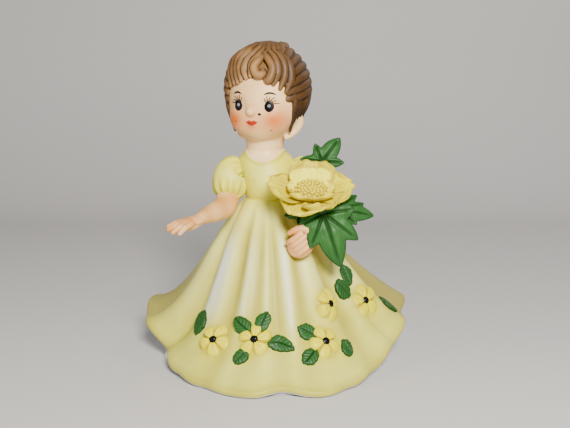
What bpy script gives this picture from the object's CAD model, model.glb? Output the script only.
import math

import bpy
import numpy as np
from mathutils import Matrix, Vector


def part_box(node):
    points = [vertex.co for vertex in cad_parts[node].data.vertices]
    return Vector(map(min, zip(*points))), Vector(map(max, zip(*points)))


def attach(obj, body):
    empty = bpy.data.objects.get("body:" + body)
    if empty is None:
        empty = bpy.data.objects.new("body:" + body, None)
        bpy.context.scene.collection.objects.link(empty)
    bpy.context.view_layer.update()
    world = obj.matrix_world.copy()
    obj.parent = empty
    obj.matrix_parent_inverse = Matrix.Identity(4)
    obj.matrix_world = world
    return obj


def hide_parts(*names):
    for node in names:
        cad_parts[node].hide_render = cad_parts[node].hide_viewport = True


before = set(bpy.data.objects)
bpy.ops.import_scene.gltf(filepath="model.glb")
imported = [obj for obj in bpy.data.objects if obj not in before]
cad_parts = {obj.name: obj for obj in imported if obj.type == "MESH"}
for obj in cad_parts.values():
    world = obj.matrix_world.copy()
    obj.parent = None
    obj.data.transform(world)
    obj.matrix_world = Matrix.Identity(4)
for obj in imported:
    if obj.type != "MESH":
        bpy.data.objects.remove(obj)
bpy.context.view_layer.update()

import openvdb
from mathutils import Vector

MM = 0.001
RANDOM = np.random.default_rng(7)


# ---------------------------------------------------------------- small maths
def box_mm(node):
    """Lowest and highest corner of a CAD node, in millimetres."""
    low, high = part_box(node)
    return np.array(low) / MM, np.array(high) / MM


def vec(*values):
    """A vector of plain numbers."""
    return np.array(values, float)


def unit(v):
    """The same directions with length 1."""
    return v / np.maximum(np.linalg.norm(v, axis=-1, keepdims=True), 1e-9)


def wrap(degrees):
    """The same angle between -180 and 180."""
    return (degrees + 180.0) % 360.0 - 180.0


def ease(x):
    """A smooth step from 0 to 1."""
    x = np.clip(x, 0.0, 1.0)
    return x * x * (3.0 - 2.0 * x)


def bump(x, width):
    """A smooth hill of height 1 round x = 0."""
    return np.exp(-(x / width) ** 2)


def mix(a, b, share):
    """Colours between a and b, one for every share."""
    share = np.asarray(share)[..., None]
    return a * (1.0 - share) + b * share


def paint(red, green, blue):
    """A paint mixed on the 0 to 255 scale, as linear light."""
    c = np.array([red, green, blue]) / 255.0
    return np.where(c <= 0.04045, c / 12.92, ((c + 0.055) / 1.055) ** 2.4)


def smooth_noise(points, scale, seed):
    """Gentle random variation from -1 to 1 over points in millimetres, from a few crossed waves."""
    crossed_waves = 7
    rng = np.random.default_rng(seed)
    total = np.zeros(len(points))
    for _ in range(crossed_waves):
        direction = unit(rng.normal(size=3)) / scale
        total += np.sin(points @ direction * 2 * math.pi + rng.uniform(0, 2 * math.pi))
    return np.clip(total / 4.0, -1.0, 1.0)


# ---------------------------------------------------------------- paints
DRESS_YELLOW = paint(210, 206, 78)
DRESS_PALE = paint(236, 234, 140)
DRESS_WHITE = paint(234, 234, 212)
DRESS_OCHRE = paint(166, 154, 46)
BODICE_YELLOW = paint(232, 224, 52)
FLARE_TAN = paint(136, 120, 58)
BISQUE_WHITE = paint(220, 222, 226)
BISQUE_GREY = paint(200, 196, 186)
SKIN = paint(244, 208, 152)
SKIN_WARM = paint(222, 158, 88)
BLUSH = paint(208, 106, 26)
LIP_RED = paint(176, 44, 10)
LIP_LINE = paint(120, 20, 4)
HAIR_BROWN = paint(84, 54, 24)
HAIR_DARK = paint(30, 13, 3)
HAIR_LIGHT = paint(172, 130, 78)
LEAF_GREEN = paint(42, 94, 36)
LEAF_DARK = paint(8, 38, 8)
LEAF_LIGHT = paint(54, 112, 40)
PETAL_YELLOW = paint(238, 226, 18)
PETAL_PALE = paint(248, 240, 76)
PETAL_OCHRE = paint(178, 152, 34)
SPRIG_YELLOW = paint(214, 202, 0)
SPRIG_PALE = paint(234, 224, 24)
KILN_SPECK = (0.12, 0.09, 0.05, 1.0)


# ---------------------------------------------------------------- meshes and materials
def add_mesh(name, points, faces, colours, material, nodes):
    """A smooth mesh that rides on the root and stands for these CAD nodes. colours may be None."""
    mesh = bpy.data.meshes.new(name)
    faces = faces if isinstance(faces, list) else faces.tolist()
    mesh.from_pydata((np.asarray(points) * MM).tolist(), [], faces)
    if colours is not None:
        layer = mesh.attributes.new("paint", "FLOAT_COLOR", "POINT")
        rgba = np.ones((len(points), 4), np.float32)
        rgba[:, :3] = np.clip(colours, 0.0, 1.0)
        layer.data.foreach_set("color", rgba.ravel())
    mesh.polygons.foreach_set("use_smooth", [True] * len(mesh.polygons))
    mesh.materials.append(material)
    mesh.update()
    obj = bpy.data.objects.new(name, mesh)
    bpy.context.scene.collection.objects.link(obj)
    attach(obj, "root")
    if nodes:
        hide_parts(*nodes)


def grid_faces(rows, columns, close_rows=False, close_columns=False):
    """Quads over a grid of points stored row by row."""
    r = np.arange(rows if close_rows else rows - 1)
    c = np.arange(columns if close_columns else columns - 1)
    r, c = np.meshgrid(r, c, indexing="ij")
    up, right = (r + 1) % rows, (c + 1) % columns
    quads = [r * columns + c, r * columns + right, up * columns + right, up * columns + c]
    return np.stack([q.ravel() for q in quads], axis=1)


def add_node(tree, kind, values=None, **settings):
    """A shader node with its settings, and then its inputs, set by name."""
    node = tree.nodes.new("ShaderNode" + kind)
    for name, value in settings.items():
        setattr(node, name, value)
    for name, value in (values or {}).items():
        node.inputs[name].default_value = value
    return node


def remap(tree, source, low, high, new_low, new_high):
    """The output of a node that maps one range of values onto another."""
    ranges = {"From Min": low, "From Max": high, "To Min": new_low, "To Max": new_high}
    node = add_node(tree, "MapRange", ranges)
    tree.links.new(source, node.inputs["Value"])
    return node.outputs["Result"]


def new_material(name, roughness, coat=0.0, grain=0.05, mottle=0.06, specks=0.0, shine=0.3, own_colour=None):
    """Painted, fired clay: the paint layer, cloudy mottling, fine grain and a few kiln specks."""
    material = bpy.data.materials.new(name)
    material.use_nodes = True
    tree = material.node_tree
    link = tree.links.new
    shader = tree.nodes["Principled BSDF"]
    place = add_node(tree, "TexCoord").outputs["Object"]
    cloud = add_node(tree, "TexNoise", {"Scale": 160.0, "Detail": 4.0})
    link(place, cloud.inputs["Vector"])
    cloud = cloud.outputs["Fac"]
    if own_colour is None:
        base = add_node(tree, "Attribute", attribute_name="paint").outputs["Color"]
    else:
        base = add_node(tree, "RGB").outputs[0]
        base.default_value = (*own_colour, 1.0)
    tinted = add_node(tree, "VectorMath", operation="SCALE")
    link(base, tinted.inputs[0])
    link(remap(tree, cloud, 0.3, 0.7, 1.0 - mottle, 1.0 + mottle), tinted.inputs["Scale"])
    colour = tinted.outputs["Vector"]
    if specks > 0.0:
        cells = add_node(tree, "TexVoronoi", {"Scale": 90.0})
        link(place, cells.inputs["Vector"])
        spotted = add_node(tree, "Mix", {"B": KILN_SPECK}, data_type="RGBA")
        link(remap(tree, cells.outputs["Distance"], specks, specks * 0.4, 0.0, 0.7), spotted.inputs["Factor"])
        link(colour, spotted.inputs["A"])
        colour = spotted.outputs["Result"]
    link(colour, shader.inputs["Base Color"])
    fine = add_node(tree, "TexNoise", {"Scale": 1400.0, "Detail": 3.0})
    link(place, fine.inputs["Vector"])
    relief = add_node(tree, "Bump", {"Strength": grain, "Distance": 0.0003})
    link(fine.outputs["Fac"], relief.inputs["Height"])
    link(relief.outputs["Normal"], shader.inputs["Normal"])
    link(remap(tree, cloud, 0.3, 0.7, roughness - 0.06, roughness + 0.06), shader.inputs["Roughness"])
    shader.inputs["Coat Weight"].default_value = coat
    shader.inputs["Coat Roughness"].default_value = 0.25
    shader.inputs["Specular IOR Level"].default_value = shine
    return material


DRESS = new_material("painted_dress", 0.46, coat=0.05, mottle=0.05, specks=0.035)
SKIN_MATERIAL = new_material("painted_skin", 0.48, coat=0.05, mottle=0.03)
HAIR_MATERIAL = new_material("painted_hair", 0.50, mottle=0.14)
PETAL = new_material("painted_petal", 0.55, mottle=0.05)
LEAF = new_material("painted_leaf", 0.46, mottle=0.14, grain=0.1)
BARE = new_material("bare_bisque", 0.7, mottle=0.04, grain=0.12, specks=0.03)
BLACK = new_material("black_enamel", 0.28, coat=0.1, mottle=0.0, grain=0.0, shine=0.12,
                     own_colour=(0.006, 0.006, 0.008))
PENCIL = new_material("lash_line", 0.5, mottle=0.0, grain=0.0, own_colour=(0.03, 0.02, 0.015))
GLINT = new_material("eye_glint", 0.4, mottle=0.2, grain=0.0, own_colour=(0.20, 0.20, 0.21))


# ---------------------------------------------------------------- modelling in clay
class Clay:
    """Clay held as signed distances on an even grid. Shapes melt into each other as they are added."""

    FAR = 6.0        # the distance that stands for empty space
    MARGIN = 2.5     # how far round a shape the grid is worked on

    def __init__(self, low, high, step):
        self.low, self.step = np.array(low, float), step
        count = np.ceil((np.array(high) - self.low) / step).astype(int) + 1
        self.field = np.full(count, self.FAR, np.float32)
        self.axes = [self.low[i] + step * np.arange(count[i]) for i in range(3)]

    def window(self, low, high):
        """The part of the grid inside a box, and its three axes ready to be combined."""
        spans = []
        for axis, a, b in zip(self.axes, low, high):
            spans.append(slice(int(np.searchsorted(axis, a)), int(np.searchsorted(axis, b))))
        x, y, z = (axis[span] for axis, span in zip(self.axes, spans))
        return tuple(spans), x[:, None, None], y[None, :, None], z[None, None, :]

    def merge(self, spans, distance, melt, carve):
        """Adds a shape to the clay or carves it out, with a rounded seam."""
        sign = -1.0 if carve else 1.0
        old = sign * self.field[spans]
        share = np.clip(0.5 + 0.5 * (distance - old) / melt, 0.0, 1.0)
        self.field[spans] = sign * (distance * (1 - share) + old * share - melt * share * (1 - share))

    def ball(self, centre, radii, melt=0.5, axes=None, carve=False):
        """An ellipsoid. axes holds its three directions as rows."""
        centre, radii = np.array(centre, float), np.array(radii, float) * np.ones(3)
        axes = np.eye(3) if axes is None else np.array(axes)
        reach = np.sqrt(((axes * radii[:, None]) ** 2).sum(axis=0)) + self.MARGIN + melt
        spans, x, y, z = self.window(centre - reach, centre + reach)
        x, y, z = x - centre[0], y - centre[1], z - centre[2]
        near = far = 0.0
        for direction, r in zip(axes, radii):
            along = x * direction[0] + y * direction[1] + z * direction[2]
            near = near + (along / r) ** 2
            far = far + (along / (r * r)) ** 2
        near, far = np.sqrt(near), np.sqrt(far) + 1e-6
        self.merge(spans, near * (near - 1.0) / far, melt, carve)

    def rod(self, a, b, ra, rb, melt=0.5):
        """A rod with round ends, of radius ra at a and rb at b."""
        a, b = np.array(a, float), np.array(b, float)
        reach = max(ra, rb) + self.MARGIN + melt
        spans, x, y, z = self.window(np.minimum(a, b) - reach, np.maximum(a, b) + reach)
        d = b - a
        size = max(float(d @ d), 1e-9)
        share = np.clip(((x - a[0]) * d[0] + (y - a[1]) * d[1] + (z - a[2]) * d[2]) / size, 0.0, 1.0)
        away = np.sqrt((x - a[0] - d[0] * share) ** 2 + (y - a[1] - d[1] * share) ** 2
                       + (z - a[2] - d[2] * share) ** 2)
        self.merge(spans, away - ra - (rb - ra) * share, melt, False)

    def chain(self, points, radii, melt=0.5):
        """A bent rod through these points."""
        for a, b, ra, rb in zip(points, points[1:], radii, radii[1:]):
            self.rod(a, b, ra, rb, melt)

    def fire(self):
        """The surface as points and quads."""
        grid = openvdb.FloatGrid(background=self.FAR)
        grid.copyFromArray(self.field)
        points, _, quads = grid.convertToPolygons(isovalue=0.0)
        points = self.low + np.asarray(points, float) * self.step
        quads = np.asarray(quads, int)
        corner = points[quads]
        volume = np.einsum("ij,ij->", corner[:, 0], np.cross(corner[:, 1], corner[:, 2]))
        return points, quads if volume > 0 else quads[:, ::-1]


def hollows(points, faces, rounds):
    """How deep each point lies in its surroundings, in mm: positive in grooves, negative on crests."""
    corners = points[faces]
    face_normal = np.cross(corners[:, 2] - corners[:, 0], corners[:, 3] - corners[:, 1])
    total = len(points)
    normal = np.stack([sum(np.bincount(faces[:, k], face_normal[:, i], total) for k in range(4))
                       for i in range(3)], 1)
    a = np.concatenate([faces[:, k] for k in range(4)])
    b = np.concatenate([faces[:, (k + 1) % 4] for k in range(4)])
    a, b = np.concatenate([a, b]), np.concatenate([b, a])
    count = np.maximum(np.bincount(a, minlength=total), 1)
    soft = points.copy()
    for _ in range(rounds):
        soft = np.stack([np.bincount(a, soft[b, i], total) / count for i in range(3)], 1)
    return np.einsum("ij,ij->i", soft - points, unit(normal))


def curve_through(points, count):
    """A smooth run of count points through these ones."""
    p = np.array(points, float)
    p = np.vstack([2 * p[0] - p[1], p, 2 * p[-1] - p[-2]])
    t = np.linspace(0, len(points) - 1 - 1e-6, count)
    k = t.astype(int)
    u = (t - k)[:, None]
    a, b, c, d = p[k], p[k + 1], p[k + 2], p[k + 3]
    return 0.5 * (2 * b + (c - a) * u + (2 * a - 5 * b + 4 * c - d) * u ** 2
                  + (3 * b - a - 3 * c + d) * u ** 3)


# ---------------------------------------------------------------- the skirt's surface
WAIST_Z = box_mm("skirt_shell")[1][2]
NECK_Z = box_mm("bodice")[1][2]
CHEST_Z = 76.0                       # the body leans over to the neck from here up
BODY_X, NECK_X = -3.0, -4.2
WAIST_RX, WAIST_RY = 9.4, 8.8
FLARE_Z = 18.5                       # height of the hem where it flares out at the sides
WALL, PAN_WALL = 2.6, 2.4
VENT, VENT_RADIUS = vec(0, 14, 0), 3.0
HEM = np.array([   # azimuth from the front towards +X, radius, height
    (-180, 52.0, 4.0), (-152, 54.5, 8.0), (-132, 59.0, 14.5), (-112, 60.5, 18.5),
    (-92, 56.0, 14.0), (-70, 49.5, 5.8), (-50, 51.0, 3.4), (-33, 54.0, 2.2),
    (-10, 57.4, 1.9), (3, 55.0, 3.2), (18, 58.0, 1.7), (33, 54.5, 2.3),
    (50, 51.5, 3.8), (70, 51.5, 8.6), (90, 57.0, 15.0), (110, 61.5, 19.0),
    (130, 59.5, 14.5), (150, 54.5, 8.0),
])
FOLDS = [          # hem azimuth, twist up to the waist, depth, width, share of the depth left at the hem
    (-73, -1, 6.5, 10, 0.40), (-31, 0, 3.4, 8.5, 0.30), (-12, 2, 2.8, 7.5, 0.30), (3, -1, 2.6, 6.5, 0.60),
    (14, 16, 2.8, 7.5, 0.30), (52, 0, 2.0, 8, 0.20), (95, 11, 7.0, 9, 0.40),
    (120, 8, 3.4, 9, 0.35), (141, 6, 4.0, 9, 0.45), (164, 2, 3.2, 8, 0.45),
    (187, 0, 3.2, 8, 0.45), (212, -2, 4.0, 9, 0.45), (240, -4, 3.4, 9, 0.35),
]
WHITE_RIDGES = [(-52, 13, 0.9), (-21, 9, 0.7), (-4, 7, 0.35), (12, 8, 0.95)]    # azimuth, width, strength


def ring(columns):
    """Azimuths in degrees all the way round."""
    return np.linspace(-180, 180, columns, endpoint=False)


def level_outline(azimuth, radius):
    """Points on the floor round the origin, at this radius for every azimuth."""
    a = np.radians(azimuth)
    return np.stack([radius * np.sin(a), -radius * np.cos(a), np.zeros(len(a))], axis=-1)


def round_the_hem(azimuth, column):
    """The hem's radius (column 1) or height (column 2) at these azimuths."""
    turn = wrap(azimuth)
    stations = np.append(HEM[:, 0], 180.0)
    values = np.append(HEM[:, column], HEM[0, column])
    k = np.clip(np.searchsorted(stations, turn, side="right") - 1, 0, len(HEM) - 1)
    share = ease((turn - stations[k]) / (stations[k + 1] - stations[k]))
    return values[k] * (1 - share) + values[k + 1] * share


def bezier(a, b, c, d, t):
    """A cubic curve from a to d with the handles b and c."""
    s = 1.0 - t
    return s * s * s * a + 3 * s * s * t * b + 3 * s * t * t * c + t * t * t * d


def valley(azimuth, t):
    """How deep in a fold this place is: 0 on a ridge, about 1 at the bottom of a fold."""
    deep = np.zeros(np.broadcast(azimuth, t).shape)
    for at, twist, _, width, _ in FOLDS:
        deep = np.maximum(deep, bump(wrap(azimuth - at - twist * (1.0 - t)), width))
    return deep


def skirt_point(azimuth, t):
    """Points of the outer surface, from the waist at t 0 to the hem at t 1."""
    azimuth, t = np.broadcast_arrays(np.asarray(azimuth, float), np.asarray(t, float))
    a = np.radians(azimuth)
    waist = 1.0 / np.hypot(np.sin(a) / WAIST_RX, np.cos(a) / WAIST_RY)
    hem_r, hem_z = round_the_hem(azimuth, 1), round_the_hem(azimuth, 2)
    flare = hem_z / FLARE_Z
    right = flare * ease((np.sin(a) + 0.2) / 1.2)
    r = bezier(waist, waist + 16.0, hem_r - 20.0, hem_r, t)
    z = bezier(WAIST_Z, WAIST_Z - 12.5, hem_z + 10.5 - 10.5 * flare + 11.5 * right, hem_z, t)
    for at, twist, depth, width, at_hem in FOLDS:
        away = wrap(azimuth - at - twist * (1.0 - t))
        fade = ease(t / 0.45) * (1.0 - (1.0 - at_hem) * ease((t - 0.55) / 0.45))
        gather = 0.16 * bump(t - 0.12, 0.10)
        r = r - depth * (fade + gather) * bump(away, width)
    lean = BODY_X * np.clip(1.0 - t, 0.0, 1.0) ** 1.5
    return np.stack([lean + r * np.sin(a), -r * np.cos(a), z], axis=-1)


def skirt_axes(azimuth, t):
    """Points with the directions round the skirt, down it and out of it."""
    p = skirt_point(azimuth, t)
    around = unit(skirt_point(np.asarray(azimuth) + 0.5, t) - skirt_point(np.asarray(azimuth) - 0.5, t))
    down = unit(skirt_point(azimuth, np.asarray(t) + 0.005) - skirt_point(azimuth, np.asarray(t) - 0.005))
    out = unit(np.cross(down, around))
    return p, around, unit(np.cross(around, out)), out


def dress_colour(points, azimuth, t):
    """Airbrushed yellow: strong in the folds and near the waist and hem, left white along the ridges."""
    deep = valley(azimuth, t)
    middle = ease((t - 0.16) / 0.22) * (1.0 - ease((t - 0.55) / 0.22))
    cloud = smooth_noise(points, 26.0, 3) * 0.5 + smooth_noise(points, 9.0, 4) * 0.25
    colour = mix(DRESS_PALE, DRESS_YELLOW, np.clip(0.50 + 0.28 * cloud + 0.3 * (1 - middle), 0, 1))
    colour = mix(colour, BODICE_YELLOW, 0.6 * (1.0 - ease(t / 0.2)))
    colour = mix(colour, DRESS_PALE, 0.6 * bump(t - 0.12, 0.1))
    bare = 0.12 + sum(strength * bump(azimuth - at, width) for at, width, strength in WHITE_RIDGES)
    white = middle * np.clip(1.0 - deep * 1.7, 0, 1) * (0.9 + 0.3 * cloud) * np.clip(bare, 0, 1)
    colour = mix(colour, DRESS_WHITE, np.clip(white, 0, 0.95))
    fold_shade = np.clip((deep - 0.3) * 1.1 * (1.0 - 0.65 * ease((t - 0.62) / 0.3)), 0, 0.7)
    colour = mix(colour, DRESS_OCHRE, fold_shade * (0.1 + 0.9 * ease((t - 0.04) / 0.3)))
    from_front = np.abs(wrap(azimuth))
    side = ease((from_front - 76.0) / 25.0) * (1.0 - 0.7 * ease((from_front - 125.0) / 25.0))
    colour = mix(colour, FLARE_TAN, 0.7 * side * ease((t - 0.3) / 0.3))
    for _, at, share in BLOSSOMS:    # stronger yellow is brushed round every blossom
        away = np.linalg.norm(points - skirt_point(at, share), axis=1)
        colour = mix(colour, SPRIG_YELLOW, 0.5 * bump(away - 3.0, 5.5))
        colour = mix(colour, DRESS_OCHRE, 0.4 * bump(away - 5.6, 1.4))
    edge = ease((t - 0.93) / 0.07)
    return mix(colour, DRESS_OCHRE, 0.45 * edge)


def make_skirt():
    """The folded bell: its outside, its rounded hem and its white inside."""
    around, outer_rows, rim_rows, inner_rows = 540, 150, 11, 26
    lowest = 0.35
    azimuth = ring(around)
    t_outer = np.linspace(0.0, 0.982, outer_rows)
    rows, colours = [], []
    for t in t_outer:
        p = skirt_point(azimuth, t)
        rows.append(p)
        colours.append(dress_colour(p, azimuth, np.full(around, t)))
    p, _, down, out = skirt_axes(azimuth, t_outer[-1])
    half = 0.5 * WALL
    down = unit(down + vec(0, 0, -0.35))
    for turn in np.linspace(0, math.pi, rim_rows)[1:]:
        q = p - out * half + half * (out * math.cos(turn) + down * math.sin(turn) * 0.75)
        q[:, 2] = np.maximum(q[:, 2], lowest)
        rows.append(q)
        bare = ease((turn - 1.3) / 0.9)
        hem_colour = dress_colour(q, azimuth, np.full(around, 1.0))
        colours.append(mix(hem_colour, BISQUE_WHITE, np.full(around, bare)))
    for t in np.linspace(0.97, 0.03, inner_rows):
        p, _, _, out = skirt_axes(azimuth, t)
        rows.append(p - out * WALL * min(1.0, 0.5 + t * 4))
        colours.append(np.tile(BISQUE_WHITE, (around, 1)))
    faces = grid_faces(len(rows), around, close_rows=True, close_columns=True)
    add_mesh("skirt", np.concatenate(rows), faces[:, ::-1], np.concatenate(colours), DRESS, ["skirt_shell"])


def make_base():
    """The white bisque pan under the skirt, with its vent."""
    columns = 240
    azimuth = ring(columns)
    hem_r, hem_z = round_the_hem(azimuth, 1), round_the_hem(azimuth, 2)
    foot = level_outline(azimuth, np.minimum(hem_r - WALL - 0.8, 53.5 - 0.75 * hem_z))
    p, _, _, out = skirt_axes(azimuth, 0.93)
    rim = p - out * (WALL + 0.4)
    vent = VENT + level_outline(azimuth, VENT_RADIUS)
    rows = [vent * (1 - share) + foot * vec(0.985, 0.985, 1) * share for share in (0.0, 0.3, 0.7, 0.97)]
    rows.append(foot * vec(0.99, 0.99, 1) + vec(0, 0, 0.12))
    rows += [foot * (1 - share) + rim * share for share in np.linspace(0.06, 1.0, 9)]
    for share in np.linspace(0.95, 0.15, 6):
        q = foot * (1 - share) + rim * share
        q = q - unit(q * vec(1, 1, 0)) * PAN_WALL
        q[:, 2] += PAN_WALL * (1 - share)
        rows.append(q)
    rows += [vent * (1 - share) + foot * share * 0.9 + vec(0, 0, WALL) for share in (0.85, 0.4, 0.0)]
    faces = grid_faces(len(rows), columns, close_rows=True, close_columns=True)
    points = np.concatenate(rows)
    colours = mix(BISQUE_WHITE, BISQUE_GREY, 0.3 + 0.3 * smooth_noise(points, 12.0, 8))
    add_mesh("base", points, faces, colours, BARE, ["base_plate"])


# ---------------------------------------------------------------- bodice and sleeves
BODICE_ROWS = np.array([   # share of the height from waist to neck, half width, half depth, shift forward
    (-0.04, 9.5, 8.9, 0.0), (0.03, 9.2, 8.8, -0.1), (0.1, 9.1, 9.1, -0.4), (0.2, 9.2, 9.6, -0.8),
    (0.34, 9.7, 10.1, -1.0), (0.5, 10.5, 10.1, -1.0), (0.64, 11.2, 9.6, -0.6),
    (0.76, 11.0, 8.9, -0.3), (0.85, 9.9, 8.2, 0.0), (0.92, 8.5, 7.8, 0.0), (1.0, 7.55, 7.4, 0.0),
    (1.1, 7.1, 7.1, 0.0),
])
NECKLINE_DIP, NECKLINE_BACK = 4.9, 1.0


def make_bodice():
    """The bodice with its round neckline, and the skin above it."""
    rows, columns = 150, 260
    shares = np.linspace(BODICE_ROWS[0, 0], BODICE_ROWS[-1, 0], rows)
    sizes = curve_through(BODICE_ROWS, 400)
    rx, ry, shift = (np.interp(shares, sizes[:, 0], sizes[:, k])[:, None] for k in (1, 2, 3))
    turn = ring(columns)[None, :]
    a = np.radians(turn)
    up = shares[:, None]
    z = (WAIST_Z + (NECK_Z - WAIST_Z) * up) * np.ones((1, columns))
    x_mid = BODY_X + (NECK_X - BODY_X) * ease((z - CHEST_Z) / (NECK_Z - CHEST_Z))
    # the yellow stops at a round neckline that dips at the front
    dip = NECKLINE_DIP * bump(wrap(turn + 6), 46) + NECKLINE_BACK * bump(wrap(turn + 180), 60)
    line = NECK_Z - 0.2 - dip
    over = z - line
    dress = 1.0 - ease((over + 0.35) / 0.5)
    lift = 0.28 * dress + 0.12 * bump(over + 0.6, 0.5)
    crease = 0.25 * bump(wrap(turn - 62), 5) * bump(up - 0.42, 0.3)
    grow = lift - 0.3 * bump(up, 0.05) - crease
    points = np.stack([x_mid + (rx + grow) * np.sin(a), shift - (ry + grow) * np.cos(a), z], axis=-1)
    points = points.reshape(-1, 3)
    shading = np.clip(0.5 + 0.5 * smooth_noise(points, 18.0, 5), 0, 1)
    front = bump(wrap(turn + 10), 30) * bump(up - 0.5, 0.28)
    low = np.broadcast_to(1 - ease(up / 0.14), z.shape)
    colours = mix(BODICE_YELLOW, DRESS_YELLOW, 0.45 * shading)
    colours = mix(colours, DRESS_PALE, 0.55 * front.ravel())
    colours = mix(colours, DRESS_OCHRE, 0.35 * low.ravel())
    colours = mix(colours, DRESS_OCHRE, 0.4 * bump(over + 0.9, 0.8).ravel())
    colours = mix(SKIN, colours, dress.ravel())
    faces = grid_faces(rows, columns, close_columns=True)
    add_mesh("bodice_cloth", points, faces, colours, DRESS, ["bodice"])


def frame_along(path):
    """For each point of a path: its direction and two directions across it that don't twist."""
    ahead = unit(np.gradient(path, axis=0))
    side = np.zeros_like(path)
    side[0] = unit(np.cross(ahead[0], vec(0.1, 1.0, 0.2)))
    for i in range(1, len(path)):
        side[i] = unit(side[i - 1] - ahead[i] * (side[i - 1] @ ahead[i]))
    return ahead, side, np.cross(ahead, side)


def tube(path, radius, turn):
    """Points round a path: radius across it at every turn in radians."""
    _, side, up = frame_along(path)
    return path[:, None, :] + side[:, None, :] * (radius * np.cos(turn))[..., None] \
        + up[:, None, :] * (radius * np.sin(turn))[..., None]


SLEEVE_LINE = [(-5.6, 0.0, 5.0), (-1.8, 0.0, 3.4), (-0.4, -0.7, -0.4), (-0.2, -2.7, -5.4), (-0.1, -3.6, -7.6)]
SLEEVE_PLAN = [    # share of the length, radius
    (0.0, 3.2), (0.12, 5.0), (0.3, 6.7), (0.5, 7.3), (0.68, 6.9), (0.84, 5.6), (0.93, 4.7), (0.965, 4.5),
    (1.0, 4.7),
]


def make_sleeve(name, node, hand):
    """A puffed sleeve, gathered into a narrow cuff. hand is -1 for her right and 1 for her left."""
    low, high = box_mm(node)
    middle = 0.5 * (low + high)
    path = curve_through([middle + vec(hand, 1, 1) * stop for stop in SLEEVE_LINE], 90)
    share = np.linspace(0, 1, len(path))
    radius = np.interp(share, *curve_through(SLEEVE_PLAN, 200).T)
    columns = 160
    turn = np.linspace(0, 2 * math.pi, columns, endpoint=False)[None, :]
    pucker = ease((share - 0.45) / 0.4)[:, None] * (1 - ease((share - 0.93) / 0.04))[:, None]
    top_pucker = (1 - ease((share - 0.05) / 0.3))[:, None]
    gather = 0.42 * pucker * (np.cos(turn * 11 + 0.6 * np.sin(turn * 3)) - 0.2)
    gather = gather + 0.3 * top_pucker * np.cos(turn * 9)
    crease = 0.9 * pucker * bump(np.angle(np.exp(1j * (turn + hand))), 0.16)
    points = tube(path, radius[:, None] + gather - crease, turn)
    cuff_inside = path[-1] + (points[-1] - path[-1]) * 0.72
    points = np.concatenate([points.reshape(-1, 3), cuff_inside, cuff_inside + (path[-4] - path[-1])])
    rows = len(path) + 2
    groove = np.clip(0.5 - 0.9 * (gather - crease), 0, 1) * np.maximum(pucker, 0.3 * top_pucker)
    groove = np.concatenate([groove.ravel(), np.ones(2 * columns)])
    colours = mix(BODICE_YELLOW, DRESS_YELLOW, np.clip(0.4 + 0.5 * smooth_noise(points, 11.0, 9), 0, 1))
    lit = bump(share - 0.42, 0.22)[:, None] * np.ones((1, columns))
    colours = mix(colours, DRESS_PALE, 0.35 * np.concatenate([lit.ravel(), np.zeros(2 * columns)]))
    colours = mix(colours, DRESS_OCHRE, 0.55 * groove)
    faces = grid_faces(rows, columns, close_columns=True)
    add_mesh(name, points, faces, colours, DRESS, [node])


# ---------------------------------------------------------------- arms and hands
ARM_SHARES = [0, 0.2, 0.42, 0.62, 0.84, 1]    # where along an arm its radii are given


def lay_arm(clay, stops, radii, count):
    """An arm from the shoulder to the wrist."""
    arm = curve_through(stops, count)
    clay.chain(arm, np.interp(np.linspace(0, 1, count), ARM_SHARES, radii), 0.6)
    return arm


def skin_colour(points, faces, marks):
    """Skin with darker grooves, and a blush round every mark, given as place, size and strength."""
    groove = np.clip(hollows(points, faces, 10) / 0.16, 0, 1)
    colours = mix(SKIN, SKIN_WARM, np.clip(0.75 + 0.3 * smooth_noise(points, 10.0, 12), 0, 1))
    colours = mix(colours, BLUSH * 0.7, 0.6 * groove)
    for place, size, strength in marks:
        near = bump(np.linalg.norm(points - place, axis=1), size)
        colours = mix(colours, BLUSH, strength * near)
    return colours


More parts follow.
